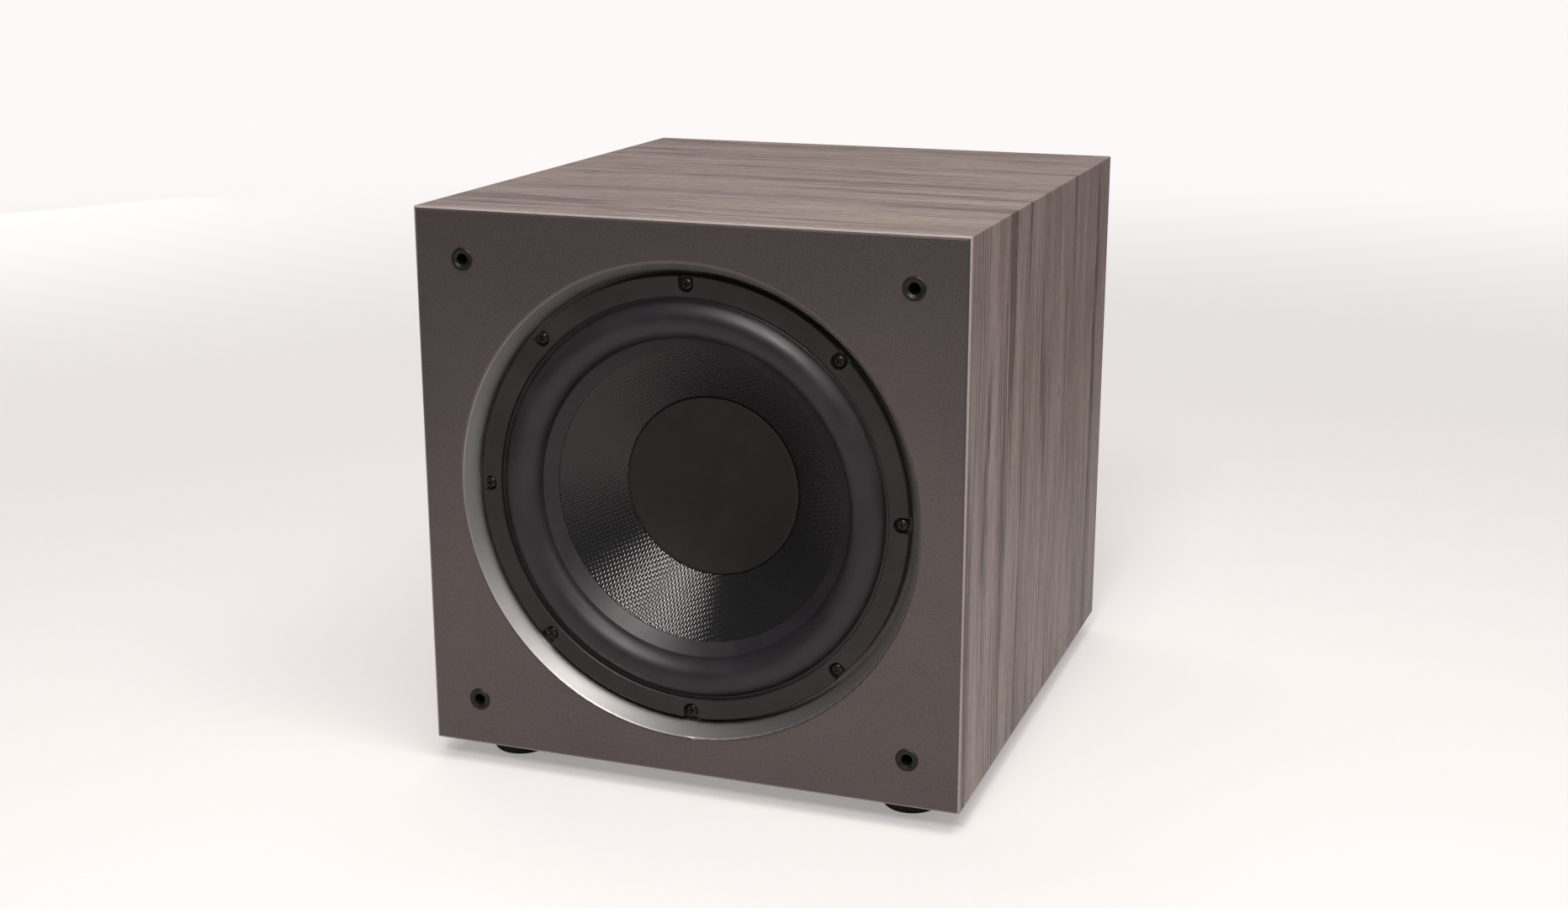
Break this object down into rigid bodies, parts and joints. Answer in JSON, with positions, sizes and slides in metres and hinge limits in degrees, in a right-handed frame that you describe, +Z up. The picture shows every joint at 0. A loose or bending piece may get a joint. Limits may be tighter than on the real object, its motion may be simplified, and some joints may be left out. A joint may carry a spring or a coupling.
{
  "type": "subwoofer",
  "caption": "Sealed powered subwoofer: square wood-grain cabinet, painted front with a recessed driver, rear amplifier plate with controls, on rubber feet.",
  "frame": {"origin": "on the floor, under the middle of the whole object", "axes": "+Z up, the driver faces -Y, +X to the right seen from the front"},
  "size_m": [0.325, 0.3728, 0.336],
  "materials": {
    "graphite_paint": "satin graphite paint on fibreboard",
    "veneer": "grey-brown wood-grain foil on fibreboard",
    "fibreboard": "raw fibreboard",
    "rear_board": "black painted fibreboard",
    "wadding": "white polyester wadding",
    "black_plastic": "fine satin black",
    "grey_plastic": "moulded grey",
    "foot_rubber": "matte black rubber",
    "surround_rubber": "smooth butyl rubber with a low sheen",
    "gasket_rubber": "matte moulded rubber",
    "seal_foam": "closed-cell foam",
    "black_steel": "black powder coat",
    "plate_paint": "fine textured black paint on steel",
    "black_screw": "black oxide steel",
    "zinc": "zinc plated steel",
    "woven_cone": "black woven cone with a gloss coating",
    "cap_plastic": "matte black moulded cap",
    "former": "thin aluminium former",
    "copper": "enamelled copper wire",
    "spider_cloth": "resin-treated cotton",
    "motor_steel": "low-carbon steel, zinc plated",
    "ferrite": "ferrite",
    "phenolic": "phenolic board",
    "gold_plate": "gold plated brass",
    "braid": "copper braid",
    "lead_sheath": "flexible sheath",
    "circuit_board": "green glass-epoxy board",
    "nylon": "natural nylon",
    "capacitor_sleeve": "shrunk sleeve",
    "alloy": "extruded, plain",
    "epoxy": "moulded epoxy",
    "winding": "wound and taped coil",
    "lamp": "clear green lens",
    "fuse_glass": "clear glass tube"
  },
  "bodies": {
    "cabinet": {"front_baffle": "graphite_paint", "top_panel": "veneer", "bottom_panel": "veneer", "left_side_panel": "veneer", "right_side_panel": "veneer", "rear_panel": "rear_board", "window_brace": "fibreboard", "acoustic_lining": "wadding", "grille_sockets": "black_plastic", "feet": "foot_rubber", "foot_screws": "zinc", "driver_basket": "black_steel", "driver_seal": "seal_foam", "gasket_ring": "gasket_rubber", "driver_screws": "black_screw", "driver_tee_nuts": "zinc", "surround": "surround_rubber", "spider": "spider_cloth", "top_plate": "motor_steel", "basket_rivets": "zinc", "magnet_rings": "ferrite", "yoke": "motor_steel", "terminal_board": "phenolic", "terminal_tabs": "gold_plate", "tinsel_leads": "braid", "speaker_lead": "lead_sheath", "amp_plate": "plate_paint", "amp_seal": "seal_foam", "amp_screws": "black_screw", "amp_board": "circuit_board", "board_standoffs": "nylon", "filter_capacitors": "capacitor_sleeve", "heat_spreader": "alloy", "output_transistors": "epoxy", "power_transformer": "winding", "transformer_mount": "black_screw", "control_pots": "zinc", "pot_nuts": "zinc", "phase_switch_case": "black_plastic", "mode_switch_case": "black_plastic", "phono_jacks": "gold_plate", "phono_insulators": "grey_plastic", "status_lamp": "lamp", "rocker_housing": "black_plastic", "mains_inlet": "black_plastic", "inlet_pins": "zinc", "mains_leads": "lead_sheath"},
    "cone_assembly": {"cone": "woven_cone", "dust_cap": "cap_plastic", "voice_coil_former": "former", "voice_coil": "copper"},
    "volume_control": {"volume_shaft": "alloy", "volume_knob": "black_plastic"},
    "crossover_control": {"crossover_shaft": "alloy", "crossover_knob": "black_plastic"},
    "phase_lever": {"phase_switch_lever": "black_plastic"},
    "mode_lever": {"mode_switch_lever": "black_plastic"},
    "rocker": {"power_rocker": "black_plastic"},
    "fuse_carrier": {"fuse_drawer": "black_plastic", "fuse": "fuse_glass"}
  },
  "joints": [
    {"name": "cone_travel", "type": "slide", "parent": "cabinet", "child": "cone_assembly", "axis": [0, -1, 0], "range_m": [-0.009, 0.009], "stiffness_N_per_m": 2500, "deforming": ["surround", "spider", "tinsel_leads"]},
    {"name": "volume_turn", "type": "hinge", "parent": "cabinet", "child": "volume_control", "pos_m": [0.052, 0.172, 0.241], "axis": [0, 1, 0], "range_deg": [-150, 150]},
    {"name": "crossover_turn", "type": "hinge", "parent": "cabinet", "child": "crossover_control", "pos_m": [0.008, 0.172, 0.241], "axis": [0, 1, 0], "range_deg": [-150, 150]},
    {"name": "phase_slide", "type": "slide", "parent": "cabinet", "child": "phase_lever", "axis": [1, 0, 0], "range_m": [0, 0.004]},
    {"name": "mode_slide", "type": "slide", "parent": "cabinet", "child": "mode_lever", "axis": [1, 0, 0], "range_m": [0, 0.004]},
    {"name": "power_rock", "type": "hinge", "parent": "cabinet", "child": "rocker", "pos_m": [-0.062, 0.1675, 0.0833], "axis": [1, 0, 0], "range_deg": [-20, 0]},
    {"name": "fuse_drawer_slide", "type": "slide", "parent": "cabinet", "child": "fuse_carrier", "axis": [0, 1, 0], "range_m": [0, 0.016]}
  ]
}
